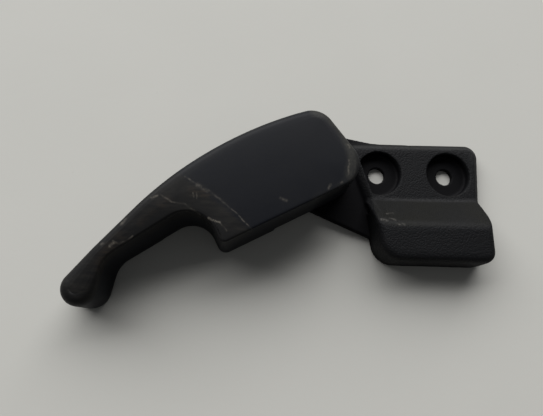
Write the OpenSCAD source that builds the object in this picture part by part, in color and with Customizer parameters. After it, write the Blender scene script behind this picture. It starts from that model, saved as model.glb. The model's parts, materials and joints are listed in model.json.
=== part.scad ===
// Hood release handle: a moulded lever with a hooked grip turns on a moulded bracket that
// two screws hold to a panel. A cable's sleeve seats in the raised box and its wire hooks to
// the lever. X runs along the two screw holes, Y up past the box, Z out of the panel, and
// Z = 0 is the bracket's back face. Millimetres.

/* [Screw holes] */
// Distance between the two screw holes
hole_spacing = 30; // [26:0.5:34]
// Diameter of a screw hole
hole_d = 7; // [5:0.1:8]
// Diameter of the deep round recess over each screw hole
recess_d = 18.8; // [16:0.1:19.6]
// Thickness of the floor that is left under each recess
recess_floor = 2.2; // [1.6:0.1:3]
// Width of the wall that the pockets behind the holed face leave at its border
back_wall = 3; // [2.4:0.1:3.3]

/* [Bracket] */
// Height of the face with the screw holes
block_h = 6.3; // [5.5:0.1:8]
// Width of the sloping rim round that face
rim_w = 2.7; // [2:0.1:3.2]
// Height of the flat ear under the lever
ear_h = 3; // [2.4:0.1:3.6]
// Radius of the ear's round end
ear_r = 15.5; // [14:0.5:16]
// Height of the raised box over the cable
box_h = 15; // [12.5:0.5:18]
// Radius of the box's front edges
box_edge = 2.8; // [2:0.2:3.6]
// Wall thickness of the hollow box
box_wall = 2.4; // [1.8:0.1:3]
// Diameter of the cable sleeve that the box takes
sleeve_d = 6; // [5:0.5:7]
// Width of the slot for the cable's wire
wire_slot = 2.6; // [2:0.2:3.2]

/* [Pivot] */
// Distance of the pivot to the left of the middle between the holes
pivot_x = 47; // [46:0.5:49]
// Height of the pivot above the line of the holes
pivot_y = 1; // [0:0.25:2]
// Diameter of the pivot pin
pin_d = 6; // [5:0.5:7]
// Radial clearance of the pin in the bracket
pin_gap = 0.05; // [0.02:0.01:0.1]
// Radius of the round boss on the ear
boss_r = 6.6; // [6:0.1:7]
// Height of the boss's top face
boss_h = 7.5; // [7:0.1:8.5]
// Thickness of the slip washer on the boss
washer_t = 0.6; // [0.4:0.1:1]
// Diameter of the push-on retainer behind the ear
retainer_d = 13; // [11:0.5:14]
// Thickness of the retainer's sheet
retainer_t = 0.6; // [0.4:0.1:0.8]

/* [Lever] */
// Angle of the lever's long axis at rest, from the line of the holes
lever_angle = 26.7; // [25:0.1:28]
// Angle that the lever turns through when pulled
pull_angle = 38; // [25:1:40]
// Height of the paddle's face
face_h = 25; // [23:0.25:28]
// Gap between the lever's back edge and the plane of the panel
back_gap = 1; // [0.5:0.1:2]
// Distance from the pivot to the paddle's straight lower edge
paddle_low = 17; // [16.5:0.1:18]
// Distance from the pivot to the top of the long curved edge
paddle_top = 19.1; // [18.5:0.1:20]
// Distance from the pivot to the paddle's right end
paddle_end = 16.6; // [16:0.1:17]
// Distance from the pivot to the corner beside the finger hollow
paddle_left = 45.4; // [43:0.2:48]
// Radius of the long curved upper edge
back_radius = 150; // [135:5:165]
// Slope of the grip's straight upper edge
grip_slope = 20; // [19:0.25:21]
// Radius of the finger hollow beside the paddle
hollow_r = 10; // [8:0.5:11]
// Distance from the pivot to the middle of the grip's round end
tip_x = 95.4; // [93:0.2:98]
// Drop of that middle below the pivot
tip_y = 7.4; // [6.8:0.1:8]
// Radius of the grip's round end
tip_r = 6.8; // [6.2:0.1:7.2]
// Draft angle of the lever's side walls
draft = 2.2; // [1:0.1:2.6]
// Thickness of the lever's side walls at their back edge
wall_t = 2.8; // [2.4:0.1:3]
// Thickness of the lever's face
skin_t = 2.6; // [2.2:0.1:3]
// Slope of the face between the two creases
crease_slope_1 = 2.6; // [2:0.1:4]
// Further slope of the face past the second crease
crease_slope_2 = 4.6; // [3.5:0.1:6]

/* [Spring] */
// Diameter of the spring's wire
spring_wire = 1.6; // [1.2:0.1:1.8]
// Number of turns in the spring
spring_turns = 3; // [2:1:4]

/* [Hidden] */

eps = 0.05;
pivot = [-pivot_x, pivot_y];

// The bracket's outlines, as corners with a radius each.
top_y = 14.2;
slope_y = -11.4;
block_outline = [
    [30.4, top_y, 5.5],
    [-29.2, 13.5, 3.4],
    [-21.2, slope_y, 6],
    [-17.8, -38, 9],
    [28.2, -38.9, 5],
    [28.3, slope_y, 30],
];
ear_outline = [
    [0, top_y, 2],
    [-15.5, top_y, 30],
    [-pivot_x - 15.4, 23.2, ear_r],
    [-pivot_x - 15.4, -8, ear_r - 2.5],
    [-18.4, -27.6, 6],
    [0, -27.6, 2],
];
ridge_y = -23.8;
box_lean = 0.5;
slope_run = (slope_y - ridge_y) / (box_h - block_h);

// The lever's outline in its own frame, with the pivot at the origin and the tip to the left.
// The long upper edge is an arc between two straight lines, highest at back_x.
back_x = -15;
fall = 7;
end_lean = 10;
along = [-cos(grip_slope), -sin(grip_slope)];
inward = [sin(grip_slope), -cos(grip_slope)];
tip_c = [-tip_x, -tip_y];
back_c = [back_x, paddle_top - back_radius];
back_right = back_c + back_radius * [sin(fall), cos(fall)];
back_left = tip_c - tip_r * inward;
end_at = [paddle_end, 0];
hook_slope = 51;
hook_dir = [cos(hook_slope), sin(hook_slope)];
hook_at = tip_c + tip_r * [sin(hook_slope), -cos(hook_slope)];
under_dir = [cos(6.3), sin(6.3)];
under_at = [-83, -3];
lever_outline = [
    [-paddle_left, -paddle_low, 3.2],
    rounded_at(cross_at(end_at, [-sin(end_lean), cos(end_lean)], [0, -paddle_low], [1, 0]), 11),
    rounded_at(cross_at(end_at, [-sin(end_lean), cos(end_lean)], back_right, [cos(fall), -sin(fall)]), 10),
    rounded_at(cross_at(back_right, [cos(fall), -sin(fall)], back_left, along), back_radius),
    tip_corner(tip_c - tip_r * inward + tip_r * along),
    tip_corner(tip_c + tip_r * inward + tip_r * along),
    tip_corner(cross_at(tip_c + tip_r * inward, along, hook_at, hook_dir)),
    rounded_at(cross_at(hook_at, hook_dir, under_at, under_dir), 10),
    rounded_at(cross_at(under_at, under_dir, [-paddle_left, 0], [0, 1]), hollow_r),
];

// Heights up the lever: its back edge, the start of the rounded rim and the face.
wall_h = face_h - back_gap;
back_step = 0.6;
inset_top = wall_h * tan(draft);

hub_r = 6.5;
hub_low = boss_h + washer_t + 0.1;
pin_top = face_h - skin_t - 2.5;
recess_r = retainer_d / 2 + 0.8;
recess_h = retainer_t + 1.3;
spring_r = boss_r + spring_wire / 2 + 1.5;
spring_pitch = spring_wire + 0.35;
spring_low = ear_h + spring_wire / 2 + 0.25;

// The peg on the ear that the spring and the lever's two stop ribs bear on.
peg_r = 1.8;
peg_at = 13;
peg_angle = 170;
peg_h = spring_low + spring_pitch * 2 + 0.6;
stop_t = 1.6;
stop_step = (peg_r + stop_t / 2 + 0.3) / peg_at * 180 / PI;
stop_in = 11.8;
stop_low = ear_h + 2.2;

// The spring's legs leave its coils along tangents. One passes inside the peg and the other
// inside the inner corner of the lever's rib, each a small gap clear.
leg_gap = spring_wire / 2 + 0.3;
corner_r = norm([stop_in, stop_t / 2]);
corner_angle = peg_angle - stop_step - atan(stop_t / 2 / stop_in);
peg_reach = acos((spring_r + peg_r + leg_gap) / peg_at);
rib_reach = acos((spring_r + leg_gap) / corner_r);

// The cable's way: its wire runs from the lever's hook to the seat in the box.
wire_z = 5;
hook_c = [7.5, -10.9];
hook_rest = pivot + [
    hook_c[0] * cos(lever_angle) - hook_c[1] * sin(lever_angle),
    hook_c[0] * sin(lever_angle) + hook_c[1] * cos(lever_angle),
];
seat = [-7.5, -24];
seat_turn = atan2(seat[1] - hook_rest[1], seat[0] - hook_rest[0]);
inlet_y = -28;

// The two creases across the lever's face, each from its upper to its lower end.
crease_1 = [[-48.5, 15.5], [-33, -16.5]];
crease_2 = [[-64, 10], [-50, 2.2]];

function dot(a, b) = a[0] * b[0] + a[1] * b[1];
function unit(v) = v / norm(v);
function turn(a, b) = a[0] * b[1] - a[1] * b[0];

// Where the line through a along u meets the line through b along v.
function cross_at(a, u, b, v) = a + u * turn(b - a, v) / turn(u, v);
function rounded_at(p, r) = [p[0], p[1], r];
function tip_corner(p) = rounded_at(p, tip_r - 0.05);

// A corner's arc, as points with their outward normals and a count of the way round.
function corner_arc(c, i) =
    let (
        n = len(c),
        p = [c[i][0], c[i][1]],
        q = c[(i + n - 1) % n],
        s = c[(i + 1) % n],
        d1 = unit(p - [q[0], q[1]]),
        d2 = unit([s[0], s[1]] - p),
        bend = atan2(turn(d1, d2), dot(d1, d2)),
        r = c[i][2],
        side = sign(bend),
        reach = r * tan(abs(bend) / 2),
        start = p - d1 * reach,
        middle = start + side * r * [-d1[1], d1[0]],
        m = max(2, ceil(abs(bend) / 9), ceil(abs(bend) * r * PI / 180 / 4)),
        n1 = [d1[1], -d1[0]]
    )
    [for (k = [0:m]) let (
        a = bend * k / m,
        out = [n1[0] * cos(a) - n1[1] * sin(a), n1[0] * sin(a) + n1[1] * cos(a)]
    ) [middle + side * r * out, out, i - 0.25 + 0.5 * k / m]];

// The same arcs in one closed loop.
function loop(c) = [for (i = [0:len(c) - 1]) each corner_arc(c, i)];

// A loop with its straight runs cut into short ones.
function fine(l) =
    [for (i = [0:len(l) - 1]) let (
        a = l[i],
        b = l[(i + 1) % len(l)],
        run = norm(b[0] - a[0]),
        m = max(1, ceil(run / 4))
    ) each run < 0.02 ? [] :
        [for (k = [0:m - 1]) [a[0] + (b[0] - a[0]) * k / m, a[1], a[2] + 0.5 * k / m]]];
function inset(l, d) = [for (q = l) q[0] - q[1] * d];

// The number of the point in a list that lies closest to p.
function closest(pts, p) = let (
    d = [for (q = pts) norm(q - p)],
    least = min(d)
) [for (i = [0:len(d) - 1]) if (d[i] == least) i][0];

// The lever's side, with the radius of its rim at each corner of the outline.
side_loop = fine(loop(lever_outline));
side_n = len(side_loop);
rim_at = [
    [-0.25, 1], [0.25, 0.7], [0.75, 0.7], [1.25, 4], [1.75, 4], [2.25, 3.6], [2.75, 3.2],
    [3.25, 2.7], [3.55, 2.5], [3.75, 4.2], [5.75, 4.2], [6.25, 3.2], [6.75, 1.4], [7.25, 1.2],
    [8, 1.2], [8.75, 1],
];
rim = [for (q = side_loop) lookup(q[2], rim_at)];
face_pts = [for (i = [0:side_n - 1]) side_loop[i][0] - side_loop[i][1] * (inset_top + rim[i])];
c1_top = closest(face_pts, crease_1[0]);
c1_low = closest(face_pts, crease_1[1]);
c2_top = closest(face_pts, crease_2[0]);
c2_low = closest(face_pts, crease_2[1]);

// How far p lies past the line from one face point to another, towards the tip.
function past(p, from, to) =
    let (u = unit(face_pts[to] - face_pts[from])) max(0, turn(p - face_pts[from], u));
face_z = [for (i = [0:side_n - 1]) face_h
    - tan(crease_slope_1) * past(face_pts[i], c1_top, c1_low)
    - (i < c2_top || i > c2_low ? 0 : tan(crease_slope_2) * past(face_pts[i], c2_top, c2_low))];
function face_run(from, to) =
    [for (k = [from:to < from ? to + side_n : to]) k % side_n];

rim_steps = 5;
lever_pts = [
    for (i = [0:side_n - 1]) [side_loop[i][0][0], side_loop[i][0][1], back_gap],
    for (k = [0:rim_steps]) for (i = [0:side_n - 1]) let (
        f = 90 * k / rim_steps,
        z = face_z[i] - rim[i] * (1 - sin(f)),
        share = k == rim_steps ? 1 : min(1, (z - back_gap) / wall_h),
        p = side_loop[i][0] - side_loop[i][1] * (inset_top * share + rim[i] * (1 - cos(f)))
    ) [p[0], p[1], z],
];

// Whether the corner at place i of loop l can be cut off it without cutting another point.
function is_ear(pts, l, i) =
    let (
        n = len(l),
        before = (i + n - 1) % n,
        after = (i + 1) % n,
        a = pts[l[before]],
        b = pts[l[i]],
        c = pts[l[after]]
    )
    turn(b - a, c - b) > 1e-6 &&
    len([for (k = [0:n - 1]) let (q = pts[l[k]])
        if (k != i && k != before && k != after
            && turn(b - a, q - a) >= 0 && turn(c - b, q - b) >= 0 && turn(a - c, q - c) >= 0) k]) == 0;
function first_ear(pts, l, i) =
    i > len(l) ? 0 : is_ear(pts, l, i % len(l)) ? i % len(l) : first_ear(pts, l, i + 1);

// A flat loop, as numbers of points, cut into triangles a corner at a time.
function triangles(pts, l) =
    len(l) == 3 ? [l] :
    let (n = len(l), i = first_ear(pts, l, 1))
    concat(
        [[l[(i + n - 1) % n], l[i], l[(i + 1) % n]]],
        triangles(pts, [for (k = [1:n - 1]) l[(i + k) % n]])
    );
side_pts = [for (q = side_loop) q[0]];
top_at = (rim_steps + 1) * side_n;
lever_faces = [
    each triangles(side_pts, [for (i = [0:side_n - 1]) i]),
    for (k = [0:rim_steps]) for (i = [0:side_n - 1]) let (
        j = (i + 1) % side_n,
        a = k * side_n,
        b = a + side_n
    ) each [[a + i, b + i, a + j], [a + j, b + i, b + j]],
    for (part = [
        face_run(c1_low, c1_top),
        concat(face_run(c1_top, c2_top), face_run(c2_low, c1_low)),
        face_run(c2_top, c2_low),
    ]) for (t = triangles(face_pts, part)) [t[2] + top_at, t[1] + top_at, t[0] + top_at],
];

module at_pivot() {
    translate([pivot[0], pivot[1], 0]) children();
}

module at_lever() {
    at_pivot() rotate([0, 0, lever_angle]) children();
}

// A flat layer of an outline, set in by d, between y = low and y = high.
module layer(l, d, z, low, high) {
    translate([0, 0, z])
        linear_extrude(height = eps)
            intersection() {
                polygon(inset(l, d));
                translate([-100, low]) square([200, high - low]);
            }
}

module block() {
    l = loop(block_outline);
    hull() {
        layer(l, 0, 0, slope_y - 0.2, 50);
        layer(l, 0, block_h - rim_w, slope_y - 0.2, 50);
        layer(l, rim_w, block_h - eps, slope_y - 0.2, 50);
    }
}

// The raised box, or the hollow in it when g is the wall's thickness.
module box(g) {
    l = loop(block_outline);
    drop = g * (sqrt(1 + slope_run * slope_run) - slope_run);
    base = slope_y - (g > 0 ? g + 2 : 0);
    hull() {
        layer(l, g, g > 0 ? -1 : 0, -60, base);
        layer(l, g, block_h - rim_w - g / 2, -60, base);
        if (g == 0) layer(l, rim_w, block_h - eps, -60, base);
        for (k = [0:3]) let (
            f = 30 * k,
            z = box_h - g - box_edge * (1 - sin(f)),
            y = ridge_y - drop + (box_h - g - z) * slope_run,
            d = g + box_lean + box_edge * (1 - cos(f))
        ) layer(l, d, z - eps, -60, y - (k == 3 ? 0.8 : 0));
    }
}

// The ribs in the box that hold the cable sleeve, and the slots for it and its wire.
module seat_ribs() {
    intersection() {
        translate([seat[0], seat[1], 0]) rotate([0, 0, seat_turn]) {
            translate([-5, -14, 0]) cube([2.2, 28, box_h]);
            translate([3, -14, 0]) cube([2.4, 28, box_h]);
        }
        box(box_wall - 0.5);
    }
    intersection() {
        translate([12, -36, 0.6]) cube([1.8, 30, box_h]);
        box(box_wall - 0.5);
    }
}

// The moulding's pockets behind the face with the screw holes, round the two recess cups.
module back_pockets() {
    difference() {
        translate([0, 0, -1])
            linear_extrude(height = block_h - box_wall + 1)
                intersection() {
                    polygon(inset(loop(block_outline), back_wall));
                    translate([-100, slope_y - 1]) square([200, 60]);
                }
        for (side = [-1, 1])
            translate([side * hole_spacing / 2, 0, -2])
                cylinder(d = recess_d + 2 * box_wall, h = 20, $fn = 96);
        translate([-0.8, -60, -2]) cube([1.6, 120, 20]);
    }
}

module cable_slots() {
    translate([seat[0], seat[1], -1]) rotate([0, 0, seat_turn]) {
        translate([-17.5, -wire_slot / 2, ear_h + 1.4])
            cube([5, wire_slot, wire_z + wire_slot / 2 - ear_h - 0.4]);
        translate([-14, -wire_slot / 2, 0]) cube([12.5, wire_slot, wire_z + wire_slot / 2 + 1]);
        translate([0, -sleeve_d / 2 - 0.2, 0]) cube([8, sleeve_d + 0.4, wire_z + 1]);
        translate([0, 0, wire_z + 1]) rotate([0, 90, 0]) cylinder(d = sleeve_d + 0.4, h = 8, $fn = 48);
    }
    translate([10, inlet_y - sleeve_d / 2 - 0.5, -1]) cube([25, sleeve_d + 1, wire_z + 1]);
    translate([10, inlet_y, wire_z]) rotate([0, 90, 0]) cylinder(d = sleeve_d + 1, h = 25, $fn = 48);
}

module bracket() {
    color([0.13, 0.13, 0.13])
        difference() {
            union() {
                difference() {
                    union() {
                        linear_extrude(height = ear_h) polygon(inset(loop(ear_outline), 0));
                        block();
                        box(0);
                    }
                    box(box_wall);
                }
                intersection() {
                    seat_ribs();
                    translate([-40, -60, 0]) cube([100, 100, 60]);
                }
                at_pivot() cylinder(r = boss_r, h = boss_h, $fn = 64);
                at_pivot() rotate([0, 0, peg_angle]) translate([peg_at, 0, 0])
                    cylinder(r = peg_r, h = peg_h, $fn = 32);
            }
            cable_slots();
            back_pockets();
            for (side = [-1, 1]) {
                translate([side * hole_spacing / 2, 0, -1])
                    cylinder(d = hole_d, h = 20, $fn = 64);
                intersection() {
                    translate([side * hole_spacing / 2, 0, recess_floor])
                        cylinder(d = recess_d, h = 20, $fn = 96);
                    translate([0, 0, 1])
                        linear_extrude(height = 20)
                            polygon(inset(loop(block_outline), rim_w + 0.7));
                }
            }
            at_pivot() {
                translate([0, 0, -1]) cylinder(d = pin_d + 2 * pin_gap, h = 20, $fn = 64);
                translate([0, 0, -1]) cylinder(r = recess_r, h = recess_h + 1, $fn = 64);
            }
        }
}

// The lever's outside, in its own frame.
module lever_body() {
    polyhedron(points = lever_pts, faces = lever_faces, convexity = 8);
}

// The space inside the lever's walls, less its ribs and hub.
module lever_hollow() {
    slope = atan((face_h - face_z[closest(face_pts, tip_c)]) / (tip_x - 33));
    difference() {
        translate([0, 0, -1])
            linear_extrude(height = face_h - skin_t + 1)
                polygon(inset(loop(lever_outline), wall_t));
        translate([-33, 0, face_h - skin_t])
            rotate([0, slope, 180]) translate([0, -50, 0]) cube([140, 100, 30]);
        translate([0, 0, hub_low]) cylinder(r = hub_r, h = 40, $fn = 64);
        for (x = [-27, -44, -57, -70, -83])
            translate([x - 0.8, -50, back_gap + (x > -30 ? 10 : 3)]) cube([1.6, 100, 40]);
        translate([-27, -0.8, face_h - skin_t - 6]) cube([27, 1.6, 20]);
        for (a = [
            peg_angle - lever_angle - stop_step,
            peg_angle - lever_angle + pull_angle + stop_step
        ])
            rotate([0, 0, a]) translate([stop_in, -stop_t / 2, stop_low]) cube([40, stop_t, 40]);
        intersection() {
            translate([hook_c[0], hook_c[1], ear_h + 0.9]) cylinder(r = 4.2, h = 40, $fn = 48);
            difference() {
                translate([-50, -50, 0]) cube([100, 100, 60]);
                cylinder(r = spring_r + spring_wire / 2 + 0.4, h = 60, $fn = 64);
            }
        }
    }
}

module lever() {
    color([0.11, 0.11, 0.12])
        at_lever() difference() {
            lever_body();
            lever_hollow();
            translate([-22, -50, -1]) cube([60, 100, ear_h + 1.8]);
            translate([-64, -50, -1]) cube([60, 100, back_gap + back_step + 1]);
            translate([0, 0, -1]) cylinder(d = pin_d, h = pin_top + 1, $fn = 64);
            translate([0, 0, pin_top - 4]) cylinder(r = pin_d / 2 + 1.4, h = 2, $fn = 64);
            translate([hook_c[0], hook_c[1], 0]) cylinder(d = 4.4, h = 9, $fn = 48);
            translate([hook_c[0], hook_c[1], -1])
                rotate([0, 0, seat_turn - lever_angle])
                    translate([0, -wire_slot / 2, 0]) cube([30, wire_slot, wire_z + wire_slot]);
        }
}

module pivot_pin() {
    color([0.62, 0.62, 0.6])
        at_pivot() {
            translate([0, 0, 0.4]) cylinder(d = pin_d, h = pin_top - 0.4, $fn = 64);
            translate([0, 0, pin_top - 4]) cylinder(r = pin_d / 2 + 1.4, h = 2, $fn = 64);
        }
}

module slip_washer() {
    color([0.85, 0.83, 0.75])
        at_pivot() translate([0, 0, boss_h]) difference() {
            cylinder(r = boss_r - 0.2, h = washer_t, $fn = 64);
            translate([0, 0, -1]) cylinder(r = pin_d / 2 + 0.3, h = washer_t + 2, $fn = 64);
        }
}

module retainer() {
    color([0.5, 0.5, 0.5])
        at_pivot() translate([0, 0, recess_h - 0.1 - retainer_t]) difference() {
            cylinder(d = retainer_d, h = retainer_t, $fn = 64);
            translate([0, 0, -1]) cylinder(d = pin_d, h = retainer_t + 2, $fn = 64);
            for (a = [0:60:300]) rotate([0, 0, a])
                translate([pin_d / 2 - 0.5, -0.4, -1]) cube([1.9, 0.8, retainer_t + 2]);
        }
}

// The spring's middle line: a leg, the coils wound down the angle, and a leg.
coil_from = peg_angle - peg_reach;
coil_to = corner_angle + rib_reach;
coil_sweep = 360 * spring_turns - (coil_to - coil_from);
function on_coil(a, z) = [spring_r * cos(a), spring_r * sin(a), z];
function leg_point(a, run, z) = on_coil(a, z) + run * [-sin(a), cos(a), 0];
coil_n = ceil(coil_sweep / 12);
spring_top = spring_low + spring_pitch * coil_sweep / 360;
spring_path = [
    leg_point(coil_from, peg_at * sin(peg_reach) + peg_r + 0.6, spring_low),
    for (k = [0:coil_n]) on_coil(
        coil_from - coil_sweep * k / coil_n,
        spring_low + (spring_top - spring_low) * k / coil_n
    ),
    leg_point(coil_from - coil_sweep, -corner_r * sin(rib_reach) - 2.8, spring_top),
];

// A round wire along a path.
module wire(path, d, n) {
    m = len(path);
    ways = [for (i = [0:m - 1]) let (
        t = path[min(m - 1, i + 1)] - path[max(0, i - 1)]
    ) t / norm(t)];
    pts = [for (i = [0:m - 1]) let (
        u = unit([-ways[i][1], ways[i][0], 0]),
        v = cross(ways[i], u)
    ) for (k = [0:n - 1]) path[i] + d / 2 * (u * cos(360 * k / n) + v * sin(360 * k / n))];
    polyhedron(
        points = pts,
        faces = [
            [for (k = [0:n - 1]) k],
            for (i = [0:m - 2]) for (k = [0:n - 1]) let (
                a = i * n + k,
                b = i * n + (k + 1) % n
            ) each [[a, b + n, b], [a, a + n, b + n]],
            [for (k = [n - 1:-1:0]) (m - 1) * n + k],
        ],
        convexity = 10
    );
}

module return_spring() {
    color([0.55, 0.55, 0.55])
        at_pivot() wire(spring_path, spring_wire, 12);
}

bracket();
lever();
pivot_pin();
slip_washer();
retainer();
return_spring();
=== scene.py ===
"""Hood release handle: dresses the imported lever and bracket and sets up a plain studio.

Everything is in metres in the part's own frame: X along the two screw holes, Y up past the
cable box, Z out of the panel, and the back of the bracket lies on the floor at Z = 0.
"""

import json
import logging
import math
from dataclasses import dataclass, field
from enum import Enum
from typing import Sequence

import bmesh
import bpy
import numpy as np
from mathutils import Matrix, Vector

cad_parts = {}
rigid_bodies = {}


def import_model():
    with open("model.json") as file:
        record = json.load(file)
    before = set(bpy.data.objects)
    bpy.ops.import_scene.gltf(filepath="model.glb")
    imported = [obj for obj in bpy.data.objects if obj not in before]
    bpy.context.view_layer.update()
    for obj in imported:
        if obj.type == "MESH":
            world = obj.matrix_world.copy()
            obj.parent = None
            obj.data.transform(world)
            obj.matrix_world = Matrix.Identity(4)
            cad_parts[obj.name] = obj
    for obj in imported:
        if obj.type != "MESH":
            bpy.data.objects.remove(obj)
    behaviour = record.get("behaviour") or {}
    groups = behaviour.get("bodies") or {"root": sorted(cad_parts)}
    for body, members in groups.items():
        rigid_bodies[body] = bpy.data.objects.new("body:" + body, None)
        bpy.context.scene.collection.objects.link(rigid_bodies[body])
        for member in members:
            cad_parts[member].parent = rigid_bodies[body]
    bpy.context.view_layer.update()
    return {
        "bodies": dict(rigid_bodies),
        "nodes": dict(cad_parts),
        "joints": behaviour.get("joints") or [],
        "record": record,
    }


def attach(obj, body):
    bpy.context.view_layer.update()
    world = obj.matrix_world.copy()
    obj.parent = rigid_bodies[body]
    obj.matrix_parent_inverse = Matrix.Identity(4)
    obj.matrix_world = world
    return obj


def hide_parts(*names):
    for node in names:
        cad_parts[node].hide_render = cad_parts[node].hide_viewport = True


log = logging.getLogger("hood_release_handle")

MM = 0.001
PHOTO_WIDTH = 543


class Body(Enum):
    """The bodies of the part that pieces ride on."""

    BRACKET = "bracket"
    LEVER = "lever"


class Slot(Enum):
    """The material slots that the new pieces take."""

    GRAINED = "grained_plastic"
    SATIN = "satin_plastic"


# Shader arithmetic


@dataclass
class Value:
    """A number that varies over a surface, as a socket of a node tree."""

    tree: bpy.types.NodeTree
    socket: object

    def _math(self, operation: str, other: "Value | float | None" = None) -> "Value":
        """Puts this value and another through one Math node.

        Args:
            operation: The Math node's operation.
            other: The second input, a value or a number.

        Returns:
            The node's result.
        """
        node = self.tree.nodes.new("ShaderNodeMath")
        node.operation = operation
        self.tree.links.new(self.socket, node.inputs[0])
        if isinstance(other, Value):
            self.tree.links.new(other.socket, node.inputs[1])
        elif other is not None:
            node.inputs[1].default_value = other
        return Value(self.tree, node.outputs[0])

    def __add__(self, other: "Value | float") -> "Value":
        """Sum."""
        return self._math("ADD", other)

    def __sub__(self, other: "Value | float") -> "Value":
        """Difference."""
        return self._math("SUBTRACT", other)

    def __mul__(self, other: "Value | float") -> "Value":
        """Product."""
        return self._math("MULTIPLY", other)

    def root(self) -> "Value":
        """The square root."""
        return self._math("SQRT")

    def most(self, other: "Value | float") -> "Value":
        """The larger of two values."""
        return self._math("MAXIMUM", other)

    def least(self, other: "Value | float") -> "Value":
        """The smaller of two values."""
        return self._math("MINIMUM", other)

    def step(self, low: float, high: float, start: float = 0.0, end: float = 1.0) -> "Value":
        """Goes smoothly from start to end while this value goes from low to high.

        Args:
            low: The value at which the change starts.
            high: The value at which the change ends.
            start: The result before the change.
            end: The result after the change.

        Returns:
            The smoothed step.
        """
        node = self.tree.nodes.new("ShaderNodeMapRange")
        node.interpolation_type = "SMOOTHSTEP"
        self.tree.links.new(self.socket, node.inputs["Value"])
        node.inputs["From Min"].default_value = low
        node.inputs["From Max"].default_value = high
        node.inputs["To Min"].default_value = start
        node.inputs["To Max"].default_value = end
        return Value(self.tree, node.outputs["Result"])


@dataclass
class Place:
    """A position on a surface, in the part's frame, as a vector socket."""

    tree: bpy.types.NodeTree
    socket: object

    def noise(self, per_mm: float, detail: float = 3.0, roughness: float = 0.5, seed: float = 0.0) -> Value:
        """Smooth noise round 0.5.

        Args:
            per_mm: How many lumps lie in a millimetre.
            detail: How many finer layers are added.
            roughness: How strong the finer layers are.
            seed: Picks another part of the noise.

        Returns:
            The noise.
        """
        node = self.tree.nodes.new("ShaderNodeTexNoise")
        node.noise_dimensions = "4D"
        self.tree.links.new(self.socket, node.inputs["Vector"])
        node.inputs["W"].default_value = seed
        node.inputs["Scale"].default_value = per_mm / MM
        node.inputs["Detail"].default_value = detail
        node.inputs["Roughness"].default_value = roughness
        return Value(self.tree, node.outputs[0])

    def cells(self, per_mm: float) -> Value:
        """The distance to the middle of the nearest of many scattered cells.

        Args:
            per_mm: How many cells lie in a millimetre.

        Returns:
            The distance, in cells.
        """
        node = self.tree.nodes.new("ShaderNodeTexVoronoi")
        self.tree.links.new(self.socket, node.inputs["Vector"])
        node.inputs["Scale"].default_value = per_mm / MM
        return Value(self.tree, node.outputs["Distance"])

    def turned(self, degrees: float, stretch: Sequence[float] = (1.0, 1.0, 1.0)) -> "Place":
        """The position turned about Z and stretched, for patterns with a direction.

        Args:
            degrees: The pattern's turn about Z.
            stretch: The scale of each axis after the turn.

        Returns:
            The new position.
        """
        node = self.tree.nodes.new("ShaderNodeMapping")
        self.tree.links.new(self.socket, node.inputs["Vector"])
        node.inputs["Rotation"].default_value = (0.0, 0.0, math.radians(degrees))
        node.inputs["Scale"].default_value = stretch
        return Place(self.tree, node.outputs["Vector"])

    def along(self, direction: Sequence[float], origin: Sequence[float] = (0.0, 0.0, 0.0)) -> Value:
        """How far the position lies from an origin along a direction.

        Args:
            direction: The direction, of any length.
            origin: The origin, in metres.

        Returns:
            The distance in millimetres.
        """
        way = np.array(direction, float)
        way = way / np.linalg.norm(way) / MM
        node = self.tree.nodes.new("ShaderNodeVectorMath")
        node.operation = "DOT_PRODUCT"
        self.tree.links.new(self.socket, node.inputs[0])
        node.inputs[1].default_value = tuple(way)
        return Value(self.tree, node.outputs["Value"]) - float(np.dot(way, origin))

    def wandering(self, per_mm: float, reach_mm: float, seed: float = 0.0) -> "Place":
        """The position pushed about by slow noise, so that straight marks waver.

        Args:
            per_mm: How quickly the push changes.
            reach_mm: The largest push.
            seed: Picks another push.

        Returns:
            The new position.
        """
        node = self.tree.nodes.new("ShaderNodeTexNoise")
        node.noise_dimensions = "4D"
        self.tree.links.new(self.socket, node.inputs["Vector"])
        node.inputs["W"].default_value = seed
        node.inputs["Scale"].default_value = per_mm / MM
        node.inputs["Detail"].default_value = 2.0
        push = self.tree.nodes.new("ShaderNodeVectorMath")
        push.operation = "MULTIPLY_ADD"
        self.tree.links.new(node.outputs["Color"], push.inputs[0])
        push.inputs[1].default_value = (2 * reach_mm * MM,) * 3
        push.inputs[2].default_value = (-reach_mm * MM,) * 3
        total = self.tree.nodes.new("ShaderNodeVectorMath")
        total.operation = "ADD"
        self.tree.links.new(self.socket, total.inputs[0])
        self.tree.links.new(push.outputs[0], total.inputs[1])
        return Place(self.tree, total.outputs[0])

    def stroke(self, path: Sequence[Sequence[float]], width_mm: float) -> Value:
        """A mark along a path of straight runs, seen from above.

        Each run's distance is taken to its nearest point: the part along the run is held
        between its ends, and what is left across and past them gives the distance.

        Args:
            path: The path's points in millimetres, as X and Y.
            width_mm: The mark's half width.

        Returns:
            1 on the path, falling to 0 at the half width.
        """
        nearest: Value | None = None
        for start, end in zip(path[:-1], path[1:]):
            run = np.array([end[0] - start[0], end[1] - start[1], 0.0])
            length = float(np.linalg.norm(run))
            origin = (start[0] * MM, start[1] * MM, 0.0)
            forth = self.along(run, origin)
            past = (forth - length).most(forth * -1.0).most(0.0)
            across = self.along((-run[1], run[0], 0.0), origin)
            here = (across * across + past * past).root()
            nearest = here if nearest is None else nearest.least(here)
        return nearest.step(0.0, width_mm, 1.0, 0.0)


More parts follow.
